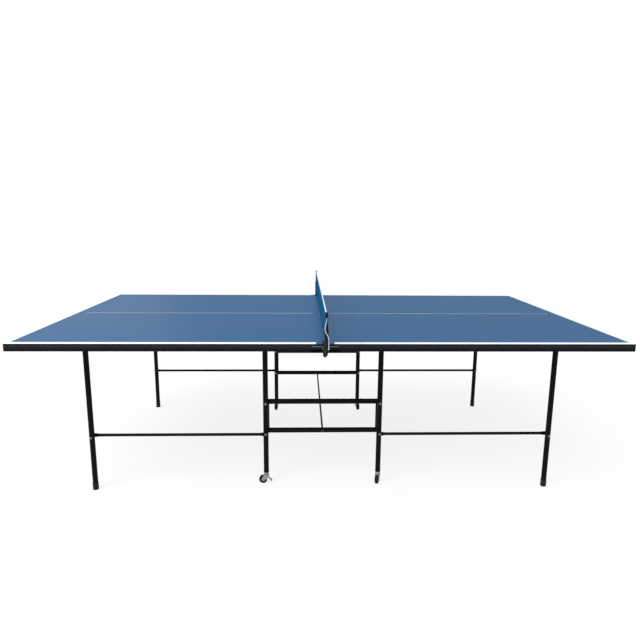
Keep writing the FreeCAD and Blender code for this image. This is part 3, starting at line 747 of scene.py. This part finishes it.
def stitchTree(material, stitchShape):
    tree = Tree("tapeStitches")
    length, pitch = tree.size("Length"), tree.size("Pitch")
    radius, height, side = tree.size("Radius"), tree.size("Height"), tree.size("Side")
    start = tree.sums("MULTIPLY", length, -0.5)
    finish = tree.sums("MULTIPLY", length, 0.5)
    rows = []
    for face in (-1, 1):
        x = tree.sums("MULTIPLY", side, face)
        ends = [tree.add("ShaderNodeCombineXYZ", None, {"X": x, "Y": y, "Z": height})
                for y in (start, finish)]
        line = tree.add("GeometryNodeCurvePrimitiveLine", None, {
            "Start": ends[0], "End": ends[1]})
        spaced = tree.add("GeometryNodeCurveToPoints", {"mode": "LENGTH"}, {
            "Curve": line, "Length": pitch})
        bead = tree.add("GeometryNodeMeshIcoSphere", None, {
            "Radius": radius, "Subdivisions": 2})
        drawn = tree.add("GeometryNodeTransform", None, {
            "Geometry": bead, "Scale": stitchShape})
        rows.append(tree.add("GeometryNodeInstanceOnPoints", None, {
            "Points": spaced, "Instance": drawn}))
    tree.end(tree.join(*rows), material)
    return tree


def makeStitches(settings):
    low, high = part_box("net_tape")
    values = {
        "Length": high.y - low.y - settings["stitchEnds"], "Pitch": settings["stitchPitch"],
        "Radius": settings["stitchRadius"], "Height": low.z + settings["stitchInset"],
        "Side": (high.x - low.x) / 2,
    }
    tree = stitchTree(finishes["net_tape"], settings["stitchShape"])
    mesh = grow("tapeStitches", tree, values)
    return addPiece("tapeStitches", mesh, "net_set", "net_tape")


# studio: a pale floor, an even sky and soft lamps

studioSettings = {
    "floorReach": 60.0,
    "floorColour": (0.15, 0.15, 0.15, 1),
    "floorGlow": 0.83,
    "sky": (1.0, 1.0, 1.0, 1),
    "skyLight": 0.66,
    "sun": 1.9,
    "sunPlace": (-3.0, -4.2, 6.5),
    "sunSoftness": 50.0,
    "lamps": [  # place, aimed at, size, power
        ((-3.6, -3.4, 3.4), (0.0, 0.0, 0.6), 2.6, 120.0),
        ((-4.6, 7.6, 3.6), (-0.4, 0.2, 0.7), 4.0, 34.0),
    ],
}


def makeStudio(settings):
    reach = settings["floorReach"]
    mesh = bpy.data.meshes.new("floor")
    mesh.from_pydata([(-reach, -reach, 0), (reach, -reach, 0), (reach, reach, 0),
                      (-reach, reach, 0)], [], [(0, 1, 2, 3)])
    floor = bpy.data.objects.new("floor", mesh)
    bpy.context.scene.collection.objects.link(floor)
    recipe = Recipe("paleFloor")
    mesh.materials.append(recipe.finish({
        "Base Color": settings["floorColour"], "Roughness": 0.9,
        "Specular IOR Level": 0.1, "Emission Color": (1, 1, 1, 1),
        "Emission Strength": settings["floorGlow"]}))
    world = bpy.data.worlds.new("sky")
    world.use_nodes = True
    bpy.context.scene.world = world
    nodes, links = world.node_tree.nodes, world.node_tree.links
    sky = nodes["Background"]
    sky.inputs["Color"].default_value = settings["sky"]
    seen = nodes.new("ShaderNodeLightPath")
    level = nodes.new("ShaderNodeMapRange")
    level.inputs["To Min"].default_value = settings["skyLight"]
    links.new(seen.outputs["Is Camera Ray"], level.inputs["Value"])
    links.new(level.outputs["Result"], sky.inputs["Strength"])
    sun = bpy.data.lights.new("sun", "SUN")
    sun.energy = settings["sun"]
    sun.angle = math.radians(settings["sunSoftness"])
    addLamp(sun, settings["sunPlace"], (0, 0, 0))
    for place, target, size, power in settings["lamps"]:
        lamp = bpy.data.lights.new("softbox", "AREA")
        lamp.energy, lamp.size = power, size
        addLamp(lamp, place, target)
    bpy.context.scene.view_settings.view_transform = "Standard"
    print("studio lit")


def addLamp(data, place, target):
    lamp = bpy.data.objects.new(data.name, data)
    lamp.location = place
    direction = Vector(target) - Vector(place)
    lamp.rotation_euler = direction.to_track_quat("-Z", "Y").to_euler()
    bpy.context.scene.collection.objects.link(lamp)


makeCamera(cameraSettings)
mixFinishes()
makeCord(cordSettings)
makeHardParts()
makeNetting(netSettings)
makeStudio(studioSettings)
